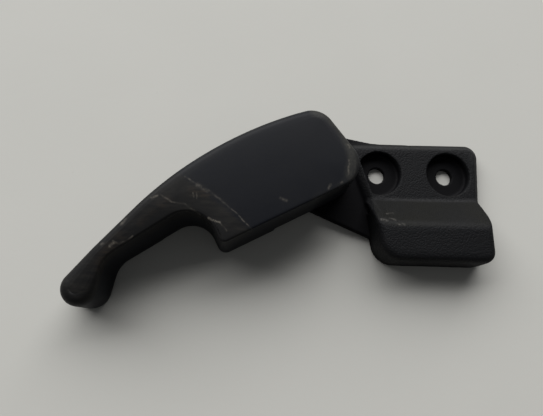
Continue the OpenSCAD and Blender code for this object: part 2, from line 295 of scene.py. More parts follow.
@dataclass
class Dresser:
    """Builds one material, node by node."""

    name: str
    material: bpy.types.Material = field(init=False)
    tree: bpy.types.NodeTree = field(init=False)
    shader: bpy.types.Node = field(init=False)

    def __post_init__(self) -> None:
        """Makes the material with one shader in it."""
        self.material = bpy.data.materials.new(self.name)
        self.material.use_nodes = True
        self.tree = self.material.node_tree
        self.shader = self.tree.nodes["Principled BSDF"]

    def place(self) -> Place:
        """The position in the part's frame."""
        node = self.tree.nodes.new("ShaderNodeTexCoord")
        return Place(self.tree, node.outputs["Object"])

    def facing(self, direction: Sequence[float]) -> Value:
        """How squarely the surface faces a direction, from -1 to 1.

        Args:
            direction: A direction in the part's frame.

        Returns:
            The cosine of the angle between the surface's normal and the direction.
        """
        geometry = self.tree.nodes.new("ShaderNodeNewGeometry")
        way = np.array(direction, float)
        node = self.tree.nodes.new("ShaderNodeVectorMath")
        node.operation = "DOT_PRODUCT"
        self.tree.links.new(geometry.outputs["Normal"], node.inputs[0])
        node.inputs[1].default_value = tuple(way / np.linalg.norm(way))
        return Value(self.tree, node.outputs["Value"])

    def colour(self, base: Sequence[float], *layers: tuple[Value, Sequence[float]]) -> None:
        """Paints layers of colour over a base.

        Args:
            base: The base colour.
            layers: Pairs of where a layer lies and its colour.
        """
        before = None
        for where, paint in layers:
            node = self.tree.nodes.new("ShaderNodeMix")
            node.data_type = "RGBA"
            node.inputs[6].default_value = (*base, 1.0)
            node.inputs[7].default_value = (*paint, 1.0)
            self.tree.links.new(where.socket, node.inputs[0])
            if before is not None:
                self.tree.links.new(before, node.inputs[6])
            before = node.outputs[2]
        self.tree.links.new(before, self.shader.inputs["Base Color"])

    def roughness(self, value: Value) -> None:
        """Sets a roughness that varies over the surface."""
        self.tree.links.new(value.socket, self.shader.inputs["Roughness"])

    def relief(self, *layers: tuple[Value, float]) -> None:
        """Raises the surface by layers of relief.

        Args:
            layers: Pairs of a height from 0 to 1 and the depth in millimetres of its whole range.
        """
        normal = None
        for height, depth in layers:
            node = self.tree.nodes.new("ShaderNodeBump")
            node.inputs["Strength"].default_value = 1.0
            node.inputs["Distance"].default_value = depth * MM
            self.tree.links.new(height.socket, node.inputs["Height"])
            if normal is not None:
                self.tree.links.new(normal, node.inputs["Normal"])
            normal = node.outputs["Normal"]
        self.tree.links.new(normal, self.shader.inputs["Normal"])


# Finishes


@dataclass(frozen=True)
class Mark:
    """A mark along a path, seen from above, used both for wear and for painted highlights: its points and
    its half width in millimetres.
    """

    path: tuple[tuple[float, float], ...]
    width: float
    strength: float


def painted(at: Place, marks: Sequence[Mark]) -> Value:
    """Lays marks over each other.

    Args:
        at: The position, in which the marks' paths lie.
        marks: The marks.

    Returns:
        The strength of the strongest mark at each point.
    """
    layers = [at.stroke(mark.path, mark.width) * mark.strength for mark in marks]
    total = layers[0]
    for layer in layers[1:]:
        total = total.most(layer)
    return total


@dataclass(frozen=True)
class GrainedPlastic:
    """Black moulded plastic with a leather-like grain, dusty and with painted light on the slopes that face
    up the part.

    Depths and the two heights of raised_from are in millimetres. Below the first height the
    plastic is smooth and painted darker, as painted shade in the recesses and on the ear, with less
    gloss; above the second it is grained, with wear. block_edge is a point of the line, in metres, where
    the box's slope starts.
    """

    base: tuple[float, float, float] = (0.0043, 0.0045, 0.0053)
    # painted shade: the darker tone of the recesses and the ear, below the raised areas
    painted_low_shade: tuple[float, float, float] = (0.0034, 0.0033, 0.0040)
    # a pale tone for wear, also used as painted highlight on edges
    wear_and_highlight: tuple[float, float, float] = (0.021, 0.021, 0.022)
    # a dusty tone that is also painted light, for the slopes that face the lamp
    dust_and_painted_light: tuple[float, float, float] = (0.0050, 0.0049, 0.0032)
    pale: tuple[float, float, float] = (0.20, 0.19, 0.17)
    roughness: float = 0.60
    low_gloss: float = 0.07
    raised_gloss: float = 0.055
    grain_per_mm: float = 1.6
    grain_depth: float = 0.14
    fine_depth: float = 0.025
    raised_from: tuple[float, float] = (3.6, 5.4)
    slope_way: tuple[float, float, float] = (0.0, 0.60, 0.80)
    block_edge: tuple[float, float, float] = (0.0, -0.0105, 0.0)
    # Pale marks along the ridge, the rims and the crease above the box's slope: partly wear, partly painted
    # highlights where edges face the light.
    edges: tuple[Mark, ...] = (
        Mark(((-18.0, -21.6), (-13.0, -22.9), (25.0, -23.9)), 2.3, 0.75),
        Mark(((-24.7, 9.9), (-23.3, 1.0), (-18.8, -11.0), (-17.0, -17.5)), 1.1, 0.5),
        Mark(((28.0, 6.0), (26.0, 10.6), (22.5, 12.0), (-24.0, 11.4)), 3.4, 1.15),
        Mark(((-19.6, -11.0), (2.0, -11.4), (25.2, -11.2)), 1.5, 1.5),
    )
    scuffs: tuple[Mark, ...] = (
        Mark(((-17.6, -21.5), (-15.4, -22.0)), 0.8, 0.5),
        Mark(((-14.2, -20.9), (-11.9, -21.6)), 0.6, 0.35),
        Mark(((-12.0, -23.4), (-9.0, -23.6)), 0.7, 0.3),
        Mark(((-15.0, -18.6), (-12.0, -18.4)), 0.5, 0.3),
    )

    def material(self) -> bpy.types.Material:
        """Builds the material: cells as grain, with wear and painted highlights on the raised areas only,
        and painted shade below them.

        Returns:
            The finished material.
        """
        look = Dresser("grained_plastic")
        at = look.place()
        raised = at.along((0.0, 0.0, 1.0)).step(*self.raised_from)
        grain = at.wandering(0.6, 0.25).cells(self.grain_per_mm)
        fine = at.noise(3.2, 2.0, 0.6)
        cloud = at.noise(0.06, 3.0, 0.6, 3.0)
        speckle = at.noise(0.9, 4.0, 0.75, 5.0)
        # Painted light with a dusty tone: slopes that face up the part, towards the lamp, painted paler.
        slope = look.facing(self.slope_way).step(0.87, 0.98) * raised
        corner = at.noise(0.04, 2.0, 0.5, 9.0).step(0.35, 0.65)
        upper = at.along((0.0, 1.0, 0.0), self.block_edge).step(-1.0, 1.5)
        # Wear together with painted highlights along the ridge, the rims and the crease above the box's
        # slope.
        edge = painted(at.wandering(0.25, 0.5, 4.0), self.edges)
        scuff = painted(at.wandering(0.6, 0.5, 2.0), self.scuffs)
        # Below the raised areas: painted shade. Slopes and edges: painted light, along with a dusty tone
        # and wear.
        look.colour(
            self.painted_low_shade,
            (raised, self.base),
            (upper * raised * (cloud.step(0.3, 0.8) * 0.12 + 0.10), self.wear_and_highlight),
            (slope * (corner * 0.6 + 0.4) * (speckle.step(0.2, 0.8) * 0.5 + 0.5), self.dust_and_painted_light),
            (edge * raised * (speckle.step(0.3, 0.75) * 0.7 + 0.3) * 0.8, self.wear_and_highlight),
            (scuff * speckle.step(0.42, 0.62) * raised, self.pale),
        )
        look.roughness(grain * 0.12 + cloud * 0.14 + (self.roughness - 0.1))
        look.relief((grain.step(0.05, 0.75) * raised, self.grain_depth), (fine, self.fine_depth))
        gloss = raised * self.raised_gloss + self.low_gloss
        look.tree.links.new(gloss.socket, look.shader.inputs["Specular IOR Level"])
        return look.material


@dataclass(frozen=True)
class SatinPlastic:
    """Smooth black plastic of the lever, rubbed along its creases and nicked along its rim, with a painted
    highlight, partly dusty, along its upper and right-hand rim.

    The wear and the painted rim highlight lie on the face and rim only, above the heights of face_from, in
    millimetres. The first crease passes through crease_at, in metres, and crease_way points past it to the
    tip.
    """

    base: tuple[float, float, float] = (0.0038, 0.0046, 0.0070)
    rubbed: tuple[float, float, float] = (0.0170, 0.0158, 0.0140)
    # a greenish pale tone: partly dusty, partly painted highlight where the rim catches the light
    olive_dust_and_highlight: tuple[float, float, float] = (0.0360, 0.0350, 0.0300)
    brown: tuple[float, float, float] = (0.0230, 0.0172, 0.0130)
    pale: tuple[float, float, float] = (0.27, 0.245, 0.205)
    tip_side: tuple[float, float, float] = (0.0066, 0.0064, 0.0062)
    roughness: float = 0.52
    gloss: float = 0.13
    face_from: tuple[float, float] = (15.0, 19.0)
    lever_turn: float = -26.7
    crease_way: tuple[float, float, float] = (-0.617, -0.787, 0.0)
    crease_at: tuple[float, float, float] = (-0.0931, -0.0094, 0.0)
    scratches: tuple[Mark, ...] = (
        Mark(((-93.1, -9.4), (-91.3, -10.5), (-89.1, -12.0), (-87.7, -13.0)), 0.50, 0.40),
        Mark(((-88.6, -12.4), (-85.0, -14.6)), 1.25, 0.34),
        Mark(((-84.6, -14.4), (-81.5, -16.8), (-77.9, -19.6)), 0.60, 0.26),
        Mark(((-77.9, -19.6), (-74.3, -22.7), (-69.1, -28.2)), 0.40, 0.42),
        Mark(((-101.2, -16.3), (-97.1, -18.9), (-93.0, -19.3)), 0.50, 0.28),
        Mark(((-93.0, -19.3), (-89.9, -21.4), (-87.4, -23.0)), 0.50, 0.34),
        Mark(((-84.3, -24.4), (-81.7, -25.6), (-80.2, -25.9)), 0.60, 0.85),
        Mark(((-80.2, -25.9), (-77.7, -28.9)), 0.45, 0.35),
        Mark(((-90.1, -15.3), (-89.7, -17.1)), 0.35, 0.40),
        Mark(((-88.7, -15.2), (-88.6, -17.5)), 0.35, 0.36),
        Mark(((-104.3, -17.3), (-102.6, -16.7)), 0.80, 0.45),
        Mark(((-114.5, -26.6), (-113.2, -24.7)), 0.95, 0.45),
        Mark(((-121.0, -33.7), (-120.4, -33.4)), 0.70, 0.45),
        Mark(((-117.9, -34.4), (-116.8, -33.3)), 0.90, 0.60),
        Mark(((-117.0, -32.6), (-114.9, -33.5), (-112.3, -32.6), (-110.4, -30.8)), 0.55, 0.34),
        Mark(((-32.9, 4.8), (-32.5, 3.6)), 0.60, 0.55),
        Mark(((-33.1, -1.5), (-33.2, -4.0), (-33.4, -7.0)), 0.55, 0.45),
        Mark(((-36.3, -10.4), (-35.9, -10.0)), 0.60, 0.45),
        Mark(((-41.1, -12.6), (-40.3, -11.1)), 0.80, 0.75),
        Mark(((-58.8, -16.8), (-56.7, -17.5)), 0.90, 0.30),
    )
    # the rim's pale stripes: partly dusty wear, mostly a painted highlight on the top and right-hand rim
    rim_wear_and_highlights: tuple[Mark, ...] = (
        Mark(((-97.7, -12.6), (-87.8, -2.8), (-73.7, 7.4), (-58.6, 14.8)), 3.2, 0.20),
        Mark(
            ((-45.0, 17.6), (-40.6, 16.5), (-35.9, 11.7), (-32.2, 3.7), (-31.2, -2.0), (-32.6, -7.6)),
            3.4,
            1.25,
        ),
        Mark(((-32.8, -8.0), (-37.9, -12.7), (-46.0, -16.8)), 2.4, 0.35),
    )
    washes: tuple[Mark, ...] = (
        Mark(((-91.0, -14.0), (-83.0, -19.5), (-74.0, -27.5)), 6.0, 0.9),
        Mark(((-104.0, -21.0), (-92.0, -20.5)), 3.5, 0.6),
        Mark(((-131.0, -46.0), (-127.0, -50.0), (-124.0, -42.0)), 8.0, 0.7),
        Mark(((-122.0, -40.0), (-112.0, -27.0), (-98.0, -14.0)), 4.5, 0.55),
    )
    browns: tuple[Mark, ...] = (
        Mark(((-121.4, -41.0), (-119.1, -36.0), (-114.5, -31.5)), 3.2, 0.6),
        Mark(((-90.5, -14.5), (-85.5, -16.0)), 2.6, 0.8),
        Mark(((-108.0, -25.5), (-99.0, -18.0)), 2.4, 0.5),
    )

    def material(self) -> bpy.types.Material:
        """Builds the material: streaks along the lever, with the marks on its face and rim only.

        Returns:
            The finished material.
        """
        look = Dresser("satin_plastic")
        at = look.place()
        wander = at.wandering(0.45, 0.45, 1.0)
        drift = at.wandering(0.12, 1.6, 7.0)
        cloud = at.noise(0.045, 4.0, 0.6, 4.0)
        speckle = at.noise(1.1, 5.0, 0.75, 8.0)
        fine = at.noise(2.6, 3.0, 0.6, 2.0)
        high = at.along((0.0, 0.0, 1.0)).step(*self.face_from)
        streaks = at.turned(self.lever_turn, (0.18, 1.0, 1.0)).noise(0.9, 4.0, 0.7, 6.0)
        patchy = at.noise(0.22, 2.0, 0.6, 11.0).step(0.36, 0.60) * 0.75 + 0.25
        beyond = at.along(self.crease_way, self.crease_at).step(-0.4, 1.2)
        # Painted highlight, partly dusty: the upper and right-hand rim painted paler than the lamp makes
        # it.
        rim = painted(at.wandering(0.15, 0.8, 12.0), self.rim_wear_and_highlights).least(1.0)
        pale = painted(wander, self.scratches) * speckle.step(0.28, 0.64) * patchy * high * 0.6
        look.colour(
            self.base,
            (beyond * high * 0.8, self.tip_side),
            (cloud.step(0.35, 0.8) * 0.12, self.rubbed),
            (speckle.step(0.48, 0.80) * high * 0.14, self.rubbed),
            (painted(drift, self.washes) * streaks.step(0.35, 0.75) * high, self.rubbed),
            (rim * (speckle.step(0.25, 0.75) * 0.7 + 0.3) * high * 0.8, self.olive_dust_and_highlight),
            (painted(drift, self.browns) * streaks.step(0.35, 0.70) * high, self.brown),
            (pale, self.pale),
        )
        look.roughness(cloud * 0.12 + streaks * 0.10 + (self.roughness - 0.10))
        look.relief((streaks, 0.015), (fine, 0.012), (pale, 0.04))
        look.shader.inputs["Specular IOR Level"].default_value = self.gloss
        return look.material


@dataclass(frozen=True)
class PlatedSteel:
    """Zinc-plated steel of the pin, the retainer and the spring."""

    base: tuple[float, float, float] = (0.46, 0.46, 0.44)
    dull: tuple[float, float, float] = (0.25, 0.24, 0.22)
    roughness: float = 0.34

    def material(self) -> bpy.types.Material:
        """Builds the material.

        Returns:
            The finished material.
        """
        look = Dresser("plated_steel")
        at = look.place()
        spangle = at.noise(0.35, 3.0, 0.6)
        brush = at.turned(20.0, (0.12, 1.0, 1.0)).noise(3.0, 3.0, 0.6)
        look.colour(self.base, (spangle.step(0.35, 0.75) * 0.7, self.dull))
        look.roughness(spangle * 0.2 + brush * 0.15 + (self.roughness - 0.12))
        look.relief((brush, 0.01))
        look.shader.inputs["Metallic"].default_value = 1.0
        return look.material


@dataclass(frozen=True)
class SlipPlastic:
    """Natural-coloured slip plastic of the washer."""

    base: tuple[float, float, float] = (0.62, 0.59, 0.50)
    greased: tuple[float, float, float] = (0.30, 0.27, 0.20)

    def material(self) -> bpy.types.Material:
        """Builds the material.

        Returns:
            The finished material.
        """
        look = Dresser("slip_plastic")
        at = look.place()
        smear = at.noise(0.25, 3.0, 0.6)
        look.colour(self.base, (smear.step(0.4, 0.8) * 0.6, self.greased))
        look.roughness(smear * 0.2 + 0.3)
        look.relief((at.noise(1.5, 2.0), 0.01))
        return look.material


# The studio


@dataclass(frozen=True)
class Window:
    """A wide flat lamp beyond the top of the picture, in metres and watts."""

    at: tuple[float, float, float] = (-0.62, 2.44, 1.88)
    to: tuple[float, float, float] = (-0.05, -0.01, 0.0)
    sides: tuple[float, float] = (6.2, 2.4)
    power: float = 250.0

    def hang(self) -> None:
        """Adds the lamp and points it at its aim."""
        data = bpy.data.lights.new("window", "AREA")
        data.shape = "RECTANGLE"
        data.size, data.size_y = self.sides
        data.energy = self.power
        lamp = bpy.data.objects.new("window", data)
        way = Vector(self.to) - Vector(self.at)
        turn = way.to_track_quat("-Z", "Y").to_matrix().to_4x4()
        lamp.matrix_world = Matrix.Translation(self.at) @ turn
        bpy.context.collection.objects.link(lamp)


@dataclass
class Studio:
    """The floor, the light and the camera."""

    focal_px: float = 430.0
    camera_mm: tuple[float, float, float] = (-74.0, -55.4, 174.5)
    right: tuple[float, float, float] = (0.9968, 0.0001, 0.0801)
    up: tuple[float, float, float] = (-0.0183, 0.9738, 0.2268)
    window: Window = field(default_factory=Window)
    sky_colour: tuple[float, float, float] = (0.96, 0.98, 1.0)
    sky_strength: float = 0.095
    floor_reach: float = 3.0
    floor_colour: tuple[float, float, float] = (0.505, 0.500, 0.470)
    cloudy: tuple[float, float, float] = (0.44, 0.44, 0.41)
    dotted: tuple[float, float, float] = (0.30, 0.29, 0.27)
    floor_gloss: float = 0.08

    def place_camera(self) -> None:
        """Puts the camera where the photograph was taken from."""
        data = bpy.data.cameras.new("camera")
        data.sensor_fit = "HORIZONTAL"
        data.sensor_width = 36.0
        data.lens = self.focal_px / PHOTO_WIDTH * data.sensor_width
        data.clip_start = 0.01
        data.dof.use_dof = False
        right = Vector(self.right).normalized()
        back = right.cross(Vector(self.up)).normalized()
        turn = Matrix((right, back.cross(right), back)).transposed()
        camera = bpy.data.objects.new("camera", data)
        camera.matrix_world = Matrix.Translation(Vector(self.camera_mm) * MM) @ turn.to_4x4()
        bpy.context.collection.objects.link(camera)
        bpy.context.scene.camera = camera

    def lay_floor(self) -> None:
        """Lays a plain pale floor under the part: a flat grid with a faint mottle."""
        side = np.linspace(-self.floor_reach, self.floor_reach, 9)
        x, y = np.meshgrid(side, side, indexing="ij")
        points = np.stack([x, y, np.zeros_like(x)], axis=-1)
        floor = grid_piece("floor", points)
        look = Dresser("pale_floor")
        at = look.place()
        soft = at.noise(0.02, 3.0, 0.5)
        dots = at.noise(0.35, 2.0, 0.5, 3.0)
        look.colour(
            self.floor_colour,
            (soft.step(0.3, 0.7) * 0.10, self.cloudy),
            (dots.step(0.72, 0.80) * 0.25, self.dotted),
        )
        look.roughness(soft * 0.1 + 0.75)
        look.relief((dots, 0.02))
        look.shader.inputs["Specular IOR Level"].default_value = self.floor_gloss
        floor.data.materials.append(look.material)

    def light(self) -> None:
        """Sets one wide soft lamp beyond the top of the picture and a weak pale sky."""
        self.window.hang()
        world = bpy.data.worlds.new("sky")
        world.use_nodes = True
        back = world.node_tree.nodes["Background"]
        back.inputs["Color"].default_value = (*self.sky_colour, 1.0)
        back.inputs["Strength"].default_value = self.sky_strength
        bpy.context.scene.world = world
        bpy.context.scene.view_settings.view_transform = "Standard"


# Meshes


def grid_piece(name: str, points: np.ndarray) -> bpy.types.Object:
    """Makes an object from a grid of points.

    Point (i, j) joins (i + 1, j) and (i, j + 1). Faces wind so that their normals point along
    the cross product of the way along the rows and the way along the columns.

    Args:
        name: The object's name.
        points: An array of rows, columns and X, Y, Z, in metres.

    Returns:
        The linked object.
    """
    rows, columns = points.shape[:2]
    row, column = np.meshgrid(np.arange(rows - 1), np.arange(columns - 1), indexing="ij")
    first = (row * columns + column).ravel()
    faces = np.stack([first, first + columns, first + columns + 1, first + 1], axis=1)
    return mesh_piece(name, points.reshape(-1, 3), faces)


def mesh_piece(name: str, points: np.ndarray, faces: np.ndarray) -> bpy.types.Object:
    """Makes an object from points and four-sided faces.

    Args:
        name: The object's name.
        points: The points, in metres.
        faces: Four point numbers for each face.

    Returns:
        The linked object.
    """
    mesh = bpy.data.meshes.new(name)
    mesh.vertices.add(len(points))
    mesh.vertices.foreach_set("co", points.astype(np.float32).ravel())
    mesh.loops.add(faces.size)
    mesh.loops.foreach_set("vertex_index", faces.astype(np.int32).ravel())
    mesh.polygons.add(len(faces))
    mesh.polygons.foreach_set("loop_start", np.arange(0, faces.size, 4, dtype=np.int32))
    mesh.polygons.foreach_set("loop_total", np.full(len(faces), 4, dtype=np.int32))
    mesh.update(calc_edges=True)
    mesh.validate()
    mesh.polygons.foreach_set("use_smooth", np.ones(len(mesh.polygons), dtype=bool))
    piece = bpy.data.objects.new(name, mesh)
    bpy.context.collection.objects.link(piece)
    return piece


def dress(frame: dict, node: str, material: bpy.types.Material) -> None:
    """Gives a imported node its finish.

    Args:
        node: The node's name.
        material: The finish.
    """
    piece = frame["nodes"][node]
    if not piece.data.materials:
        piece.data.materials.append(material)
    for index in range(len(piece.data.materials)):
        piece.data.materials[index] = material
    log.info("dressed %s in %s", node, material.name)


# The lever's moulded skin


@dataclass
class Outline:
    """A closed outline of straight runs joined by rounded corners, in millimetres."""

    corners: np.ndarray
    spacing: float = 0.35

    def sample(self) -> tuple[np.ndarray, np.ndarray, np.ndarray]:
        """Walks round the outline.

        Each corner is an arc that touches both of its straight runs: its middle lies one
        radius inside the first run, and its points are that middle plus the radius times the
        outward normal, which turns from the first run's normal to the second's. The way is a
        count that reads i - 0.25 at the start of corner i's arc and i + 0.25 at its end.

        Returns:
            The points, their outward normals and their way, as arrays.
        """
        at, radius = self.corners[:, :2], self.corners[:, 2]
        before = at - np.roll(at, 1, axis=0)
        before /= np.linalg.norm(before, axis=1)[:, None]
        after = np.roll(before, -1, axis=0)
        bend = np.arctan2(cross(before, after), (before * after).sum(axis=1))
        reach = radius * np.tan(np.abs(bend) / 2)
        side = np.sign(bend)
        left = np.stack([-before[:, 1], before[:, 0]], axis=1)
        middle = at - before * reach[:, None] + (side * radius)[:, None] * left
        points, normals, ways = [], [], []
        for i, count in enumerate(np.maximum(6, np.ceil(np.abs(bend) * radius / self.spacing)).astype(int)):
            share = np.linspace(0.0, 1.0, count + 1)
            turn = bend[i] * share
            out = np.stack(
                [
                    before[i, 1] * np.cos(turn) + before[i, 0] * np.sin(turn),
                    before[i, 1] * np.sin(turn) - before[i, 0] * np.cos(turn),
                ],
                axis=1,
            )
            points.append(middle[i] + side[i] * radius[i] * out)
            normals.append(out)
            ways.append(i - 0.25 + 0.5 * share)
            j = (i + 1) % len(at)
            start, end = points[-1][-1], at[j] - before[j] * reach[j]
            steps = max(2, int(np.ceil(np.linalg.norm(end - start) / self.spacing)))
            share = np.linspace(0.0, 1.0, steps + 1)[1:-1]
            points.append(start + (end - start) * share[:, None])
            normals.append(np.repeat(out[-1:], len(share), axis=0))
            ways.append(i + 0.25 + 0.5 * share)
        return np.concatenate(points), np.concatenate(normals), np.concatenate(ways)


def cross(a: np.ndarray, b: np.ndarray) -> np.ndarray:
    """The turn from plane vectors a to plane vectors b."""
    return a[..., 0] * b[..., 1] - a[..., 1] * b[..., 0]


def meet(a: np.ndarray, u: np.ndarray, b: np.ndarray, v: np.ndarray) -> np.ndarray:
    """Where the line through a along u meets the line through b along v."""
    return a + u * cross(b - a, v) / cross(u, v)


def heading(degrees: float) -> np.ndarray:
    """The unit vector that lies that many degrees up from the X axis."""
    return np.array([math.cos(math.radians(degrees)), math.sin(math.radians(degrees))])


def eased(value: np.ndarray, width: float) -> np.ndarray:
    """The part of a value above zero, with a bend of that width instead of a corner."""
    return 0.5 * (value + np.sqrt(value * value + width * width))


@dataclass
class LeverSide:
    """The lever's side in its own frame, from the sizes that the part's source has too.

    The long upper edge is an arc between two straight runs, the grip is parallel to the lower
    of them and ends in a round tip, and the finger hollow lies beside the paddle.
    """

    low: float = 17.0
    top: float = 19.1
    end: float = 16.6
    left: float = 45.4
    back_radius: float = 150.0
    back_x: float = -15.0
    fall: float = 7.0
    end_lean: float = 10.0
    grip_slope: float = 20.0
    tip: tuple[float, float] = (-95.4, -7.4)
    tip_radius: float = 6.8
    tip_rounding: float = 6.75
    hook_slope: float = 51.0
    under_slope: float = 6.3
    under_at: tuple[float, float] = (-83.0, -3.0)
    hollow_radius: float = 10.0
    left_radius: float = 3.2
    end_radius: float = 11.0
    top_radius: float = 10.0
    hook_radius: float = 10.0

    def corners(self) -> np.ndarray:
        """Works out the corners, each where two straight runs meet.

        Returns:
            X, Y and the rounding's radius of each corner, counterclockwise from the lower left.
        """
        tip, end, left = np.array(self.tip), np.array([self.end, 0.0]), np.array([-self.left, 0.0])
        bottom, under = np.array([0.0, -self.low]), np.array(self.under_at)
        along, inward = heading(self.grip_slope + 180.0), heading(self.grip_slope - 90.0)
        lean, descent = heading(self.end_lean + 90.0), heading(-self.fall)
        hook, hollow = heading(self.hook_slope), heading(self.under_slope)
        arc_middle = np.array([self.back_x, self.top - self.back_radius])
        back_right = arc_middle + self.back_radius * heading(90.0 - self.fall)
        back_left, grip_low = tip - self.tip_radius * inward, tip + self.tip_radius * inward
        hook_at = tip + self.tip_radius * heading(self.hook_slope - 90.0)
        tip_reach = self.tip_radius * along
        places = [
            (np.array([-self.left, -self.low]), self.left_radius),
            (meet(end, lean, bottom, heading(0.0)), self.end_radius),
            (meet(end, lean, back_right, descent), self.top_radius),
            (meet(back_right, descent, back_left, along), self.back_radius),
            (back_left + tip_reach, self.tip_rounding),
            (grip_low + tip_reach, self.tip_rounding),
            (meet(grip_low, along, hook_at, hook), self.tip_rounding),
            (meet(hook_at, hook, under, hollow), self.hook_radius),
            (meet(under, hollow, left, heading(90.0)), self.hollow_radius),
        ]
        return np.array([(*place, radius) for place, radius in places])


@dataclass
class LeverSkin:
    """The lever's smooth moulded outside: its walls, rounded rim and crowned, creased face.

    Sizes are millimetres in the lever's own frame, with the pivot at the origin and the tip to
    the left. rims pairs a way round the outline with the rim's radius there, and back_steps an X
    with the height of the wall's back edge right of it. Each of the slopes is an angle that the
    face falls by past its crease, and each of the fades is how far down the crease the fall ends.
    stations pairs the points of the lower and the upper edge that a column of the grid joins.
    """

    side: LeverSide = field(default_factory=LeverSide)
    pivot: tuple[float, float] = (-47.0, 1.0)
    angle: float = 26.7
    face: float = 25.0
    draft: float = 2.2
    proud: float = 0.12
    crown: float = 0.30
    crown_reach: float = 13.0
    thickness: float = 0.35
    bend_width: float = 1.3
    back_gap: float = 1.0
    columns: int = 420
    wall_rows: int = 9
    rim_rows: int = 9
    face_rows: int = 44
    slopes: tuple[float, float] = (2.6, 4.6)
    fades: tuple[float, float] = (60.0, 13.3)
    fade_length: float = 5.0
    largest_fall: float = 0.04
    merge: float = 0.002
    creases: tuple[tuple[tuple[float, float], tuple[float, float]], ...] = (
        ((-47.4, 12.0), (-34.7, -15.4)),
        ((-62.2, 8.0), (-51.3, 1.4)),
    )
    back_steps: tuple[tuple[float, float], ...] = ((-200.0, 1.0), (-64.0, 1.6), (-22.0, 4.8))
    rims: tuple[tuple[float, float], ...] = (
        (-0.25, 1.0), (0.25, 0.7), (0.75, 0.7), (1.25, 4.0), (1.75, 4.0), (2.25, 3.6), (2.75, 3.2),
        (3.25, 2.7), (3.55, 2.5), (3.75, 4.2), (5.75, 4.2), (6.25, 3.2), (6.75, 1.4), (7.25, 1.2),
        (8.0, 1.2), (8.75, 1.0),
    )
    far_end: tuple[float, float] = (11.6, 14.3)
    stations: tuple[tuple[tuple[float, float], tuple[float, float]], ...] = (
        ((-90.5, -12.2), (-93.5, 0.0)),
        ((-84.5, -4.2), (-86.0, 3.0)),
        ((-70.0, -1.6), (-70.5, 9.0)),
        ((-57.0, 0.9), (-59.0, 13.0)),
        ((-47.3, -3.2), (-49.3, 16.0)),
        ((-45.4, -9.0), (-46.0, 17.0)),
        ((-45.3, -13.9), (-43.9, 17.0)),
        ((-42.1, -17.0), (-41.6, 17.5)),
        ((-20.0, -17.0), (-25.0, 19.0)),
        ((2.0, -17.0), (-12.0, 19.0)),
        ((16.5, -12.0), (0.0, 18.0)),
        ((16.3, 2.0), (5.5, 17.5)),
    )

    def chains(self) -> tuple[np.ndarray, ...]:
        """Splits the outline into a lower and an upper chain with as many points.

        Both chains run from the tip to the corner above the right end. Their points are matched
        at the stations and spread evenly between them.

        Returns:
            For the lower and then the upper chain: points, normals and rim radii.
        """
        points, normals, ways = Outline(self.side.corners()).sample()
        rim = np.interp(ways, *np.array(self.rims).T)
        first = int(np.argmin(points[:, 0]))
        points, normals, rim = (np.roll(a, -first, axis=0) for a in (points, normals, rim))
        points, normals, rim = (np.concatenate([a, a[:1]]) for a in (points, normals, rim))
        last = int(np.linalg.norm(points - self.far_end, axis=1).argmin())
        sides = [
            (points[: last + 1], normals[: last + 1], rim[: last + 1]),
            (points[last:][::-1], normals[last:][::-1], rim[last:][::-1]),
        ]
        marks = []
        for side, (where, _, _) in enumerate(sides):
            run = np.concatenate([[0.0], np.cumsum(np.linalg.norm(np.diff(where, axis=0), axis=1))])
            wanted = np.array([pair[side] for pair in self.stations])
            nearest = np.linalg.norm(where[None] - wanted[:, None], axis=2).argmin(axis=1)
            marks.append((run, np.concatenate([[0.0], run[nearest], run[-1:]])))
        spans = np.maximum(np.diff(marks[0][1]), np.diff(marks[1][1]))
        share = np.concatenate([[0.0], np.cumsum(spans)]) / spans.sum()
        even = np.linspace(0.0, 1.0, self.columns)
        result = []
        for (where, out, radius), (run, mark) in zip(sides, marks):
            go = np.interp(even, share, mark)
            spot = np.stack([np.interp(go, run, where[:, k]) for k in range(2)], axis=1)
            normal = np.stack([np.interp(go, run, out[:, k]) for k in range(2)], axis=1)
            normal /= np.linalg.norm(normal, axis=1)[:, None]
            result += [spot, normal, np.interp(go, run, radius)]
        return tuple(result)

    def height(self, at: np.ndarray) -> np.ndarray:
        """The face's height: level up to the first crease, then falling, and more past the second.

        Each slope's tangent times the distance past its crease is taken off. The distance starts
        with a soft bend, and fades out beyond the crease's lower end, across the finger hollow.

        Args:
            at: Points in the lever's frame.

        Returns:
            Their heights.
        """
        drop = np.zeros(at.shape[:-1])
        for (upper, lower), slope, fade in zip(np.array(self.creases), self.slopes, self.fades):
            way = (lower - upper) / np.linalg.norm(lower - upper)
            along = np.clip((((at - upper) * way).sum(axis=-1) - fade) / self.fade_length, 0.0, 1.0)
            past = eased(cross(at - upper, way), self.bend_width) * (1.0 - along)
            drop += math.tan(math.radians(slope)) * past
        return self.face - drop

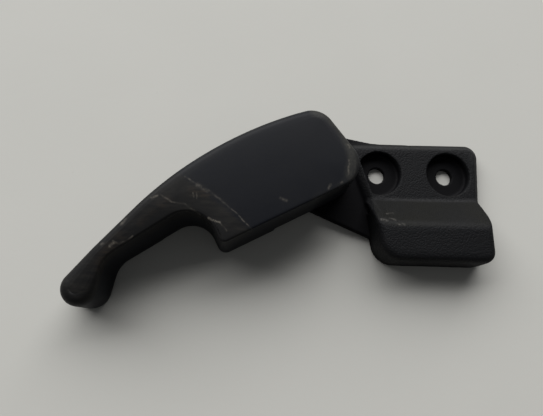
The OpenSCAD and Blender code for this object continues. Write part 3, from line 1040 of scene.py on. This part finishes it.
    def wall(self, at: np.ndarray, out: np.ndarray, rim: np.ndarray) -> np.ndarray:
        """One chain's wall and rim.

        The wall leans in by the draft as it rises. The rim is a quarter circle of the rim's
        radius, which starts upright at the wall and ends level with the face.

        Args:
            at: The chain's points.
            out: Their outward normals.
            rim: The rim's radius at each.

        Returns:
            A grid of points, from the back edge to the face.
        """
        lean = math.tan(math.radians(self.draft))
        back = np.array(self.back_steps)
        low = back[np.searchsorted(back[:, 0], at[:, 0]) - 1, 1]
        inset_top = (self.face - self.back_gap) * lean
        edge = self.height(at - out * (inset_top + rim)[:, None]) + self.proud
        start = edge - rim
        share = np.linspace(0.0, 1.0, self.wall_rows + 1)[:-1]
        wall_z = low[:, None] + (start - low)[:, None] * share
        wall_in = (wall_z - self.back_gap) * lean - self.proud
        angle = np.linspace(0.0, math.pi / 2, self.rim_rows)
        rim_z = start[:, None] + rim[:, None] * np.sin(angle)
        start_in = (start - self.back_gap) * lean
        rim_in = start_in[:, None] + rim[:, None] * (1 - np.cos(angle)) - self.proud * np.cos(angle)
        height = np.concatenate([wall_z, rim_z], axis=1)
        inward = np.concatenate([wall_in, rim_in], axis=1)
        flat = at[:, None, :] - out[:, None, :] * inward[:, :, None]
        return np.concatenate([flat, height[:, :, None]], axis=2)

    def surface(self) -> np.ndarray:
        """The whole outside as one grid, along the lever and across it.

        The face's points lie on straight lines between the two rims, and their height is the
        creased height plus a crown. With s as the distance to the nearest rim over the crown's
        reach, and 1 at most, the crown's height is its full height times s (2 - s).

        Returns:
            The grid's points in the part's frame, in metres.
        """
        lower, lower_out, lower_rim, upper, upper_out, upper_rim = self.chains()
        low = self.wall(lower, lower_out, lower_rim)
        high = self.wall(upper, upper_out, upper_rim)
        w = np.linspace(0.0, 1.0, self.face_rows + 2)[1:-1][None, :, None]
        face = low[:, -1:, :] + (high[:, -1:, :] - low[:, -1:, :]) * w
        border = np.concatenate([low[:, -1, :2], high[:, -1, :2]])
        inside = np.stack([self.nearest(column, border) for column in face[:, :, :2]])
        share = np.clip(inside / self.crown_reach, 0.0, 1.0)
        face[:, :, 2] = self.height(face[:, :, :2]) + self.proud + self.crown * share * (2.0 - share)
        grid = np.concatenate([low, face, high[:, ::-1]], axis=1)
        grid = self.relaxed(grid, low.shape[1] - 2, grid.shape[1] - low.shape[1] + 2)
        turn = math.radians(self.angle)
        x = self.pivot[0] + grid[:, :, 0] * math.cos(turn) - grid[:, :, 1] * math.sin(turn)
        y = self.pivot[1] + grid[:, :, 0] * math.sin(turn) + grid[:, :, 1] * math.cos(turn)
        return np.stack([x, y, grid[:, :, 2]], axis=2) * MM

    @staticmethod
    def nearest(points: np.ndarray, others: np.ndarray) -> np.ndarray:
        """The distance from each point to the nearest of some others."""
        return np.sqrt(((points[:, None, :] - others[None, :, :]) ** 2).sum(axis=2)).min(axis=1)

    def relaxed(self, grid: np.ndarray, start: int, end: int, passes: int = 14) -> np.ndarray:
        """Evens out the heights of some rows, so that no ridge is left where slopes meet.

        Args:
            grid: The grid's points.
            start: The first row that is evened out.
            end: The row after the last one.
            passes: How often each height moves halfway to the mean of its neighbours' heights.
                No height falls by more than the largest fall in all.

        Returns:
            The grid with the new heights.
        """
        height = grid[:, :, 2].copy()
        for _ in range(passes):
            beside = (height[1:-1, start - 1 : end - 1] + height[1:-1, start + 1 : end + 1]) / 2
            before = (height[:-2, start:end] + height[2:, start:end]) / 2
            height[1:-1, start:end] = (height[1:-1, start:end] * 2 + beside + before) / 4
        result = grid.copy()
        result[:, :, 2] = np.maximum(height, grid[:, :, 2] - self.largest_fall)
        return result

    def build(self, finish: bpy.types.Material) -> bpy.types.Object:
        """Makes the skin, closes its two ends and gives it a thickness.

        Args:
            finish: The lever's finish.

        Returns:
            The skin, riding on the lever.
        """
        piece = grid_piece("lever_skin", self.surface())
        shape = bmesh.new()
        shape.from_mesh(piece.data)
        bmesh.ops.remove_doubles(shape, verts=shape.verts, dist=self.merge * MM)
        shape.to_mesh(piece.data)
        shape.free()
        wall = piece.modifiers.new("wall", "SOLIDIFY")
        wall.thickness = self.thickness * MM
        wall.offset = -1.0
        piece.data.materials.append(finish)
        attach(piece, Body.LEVER.value)
        log.info("built %s with %d faces", piece.name, len(piece.data.polygons))
        return piece


# The bracket's softened moulding


def ramp(value: np.ndarray, start: float, width: float) -> np.ndarray:
    """Goes from 0 to 1 while a value goes from a start across a width."""
    return np.clip((value - start) / width, 0.0, 1.0)


@dataclass
class BracketSkin:
    """The bracket as it leaves its mould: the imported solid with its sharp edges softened.

    A copy of the solid is cut into even small faces. Each point then moves, pass after pass,
    towards the mean of its neighbours. Flat areas stay where they are and edges become round:
    a little all over, and more round the raised box. The back face, the walls of the holes and
    the boss at the pivot stay sharp. The pairs are where such a change starts and how wide it is.
    """

    voxel: float = 0.42
    passes: int = 5
    box_passes: int = 16
    rate: float = 0.5
    pivot: tuple[float, float] = (-47.0, 1.0)
    hole_x: float = 15.0
    back: tuple[float, float] = (0.5, 0.8)
    boss: tuple[float, float] = (8.5, 1.5)
    hole: tuple[float, float] = (3.9, 0.6)
    box_height: tuple[float, float] = (6.9, 2.5)
    box_depth: tuple[float, float] = (11.5, 3.0)

    def build(self, frame: dict, finish: bpy.types.Material) -> bpy.types.Object:
        """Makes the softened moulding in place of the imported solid.

        Args:
            finish: The bracket's finish.

        Returns:
            The moulding, riding on the bracket.
        """
        piece = bpy.data.objects.new("bracket_moulding", frame["nodes"]["bracket"].data.copy())
        bpy.context.collection.objects.link(piece)
        cut = piece.modifiers.new("cut", "REMESH")
        cut.mode = "VOXEL"
        cut.voxel_size = self.voxel * MM
        graph = bpy.context.evaluated_depsgraph_get()
        mesh = bpy.data.meshes.new_from_object(piece.evaluated_get(graph))
        piece.modifiers.clear()
        piece.data = mesh
        mesh.name = piece.name
        points = np.empty(len(mesh.vertices) * 3)
        mesh.vertices.foreach_get("co", points)
        edges = np.empty(len(mesh.edges) * 2, dtype=np.int32)
        mesh.edges.foreach_get("vertices", edges)
        points = self.soften(points.reshape(-1, 3) / MM, edges.reshape(-1, 2))
        mesh.vertices.foreach_set("co", (points * MM).astype(np.float32).ravel())
        mesh.materials.clear()
        mesh.materials.append(finish)
        mesh.polygons.foreach_set("material_index", np.zeros(len(mesh.polygons), dtype=np.int32))
        mesh.polygons.foreach_set("use_smooth", np.ones(len(mesh.polygons), dtype=bool))
        mesh.update()
        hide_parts("bracket")
        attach(piece, Body.BRACKET.value)
        log.info("built %s with %d faces", piece.name, len(mesh.polygons))
        return piece

    def soften(self, points: np.ndarray, edges: np.ndarray) -> np.ndarray:
        """Rounds the edges of a mesh of even faces.

        Args:
            points: The mesh's points in millimetres.
            edges: The point numbers at both ends of each edge.

        Returns:
            The moved points.
        """
        count = len(points)
        one, other = edges.T
        near = np.bincount(one, minlength=count) + np.bincount(other, minlength=count)
        everywhere, box = self.freedom(points)
        for turn in range(self.box_passes):
            free = everywhere if turn < self.passes else box
            total = np.stack(
                [
                    np.bincount(one, points[other, k], count) + np.bincount(other, points[one, k], count)
                    for k in range(3)
                ],
                axis=1,
            )
            points = points + (total / near[:, None] - points) * (self.rate * free)[:, None]
        return points

    def freedom(self, points: np.ndarray) -> tuple[np.ndarray, np.ndarray]:
        """How freely each point moves, from 0 to 1, in all passes and in the box's own passes.

        Args:
            points: The points in millimetres.

        Returns:
            The two freedoms.
        """
        x, y, z = points.T
        back = ramp(z, *self.back)
        boss = ramp(np.hypot(x - self.pivot[0], y - self.pivot[1]), *self.boss)
        holes = ramp(np.hypot(np.abs(x) - self.hole_x, y), *self.hole)
        box = ramp(z, *self.box_height) * ramp(-y, *self.box_depth)
        return back * boss * holes, back * box


# The sub-assemblies


@dataclass
class Bracket:
    """The moulded bracket with its two screw recesses and raised cable box."""

    finish: GrainedPlastic = field(default_factory=GrainedPlastic)
    skin: BracketSkin = field(default_factory=BracketSkin)

    def build(self, frame: dict) -> None:
        """Dresses the bracket and softens its edges.
        """
        finish = self.finish.material()
        dress(frame, "bracket", finish)
        self.skin.build(frame, finish)


@dataclass
class Lever:
    """The pulled lever with its hooked grip."""

    finish: SatinPlastic = field(default_factory=SatinPlastic)
    skin: LeverSkin = field(default_factory=LeverSkin)

    def build(self, frame: dict) -> None:
        """Dresses the lever and lays its smooth skin over it.
        """
        finish = self.finish.material()
        dress(frame, "lever", finish)
        self.skin.build(finish)


@dataclass
class PivotGear:
    """The pin, washer, retainer and spring that the lever turns on."""

    steel: PlatedSteel = field(default_factory=PlatedSteel)
    slip: SlipPlastic = field(default_factory=SlipPlastic)

    def build(self, frame: dict) -> None:
        """Dresses the pieces at the pivot.
        """
        metal = self.steel.material()
        for node in ("pivot_pin", "retainer", "return_spring"):
            dress(frame, node, metal)
        dress(frame, "slip_washer", self.slip.material())


def corners(bounds: Sequence[Sequence[float]]) -> list[list[float]]:
    """The two corners of a box as plain lists."""
    return [[float(v) for v in corner] for corner in bounds]


def main() -> None:
    """Builds the scene."""
    logging.basicConfig(level=logging.INFO, format="%(name)s: %(message)s")
    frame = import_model()
    studio = Studio()
    studio.place_camera()
    studio.lay_floor()
    studio.light()
    for assembly in (Bracket(), Lever(), PivotGear()):
        assembly.build(frame)
        log.info("built %s", type(assembly).__name__)


if __name__ == "__main__":
    main()
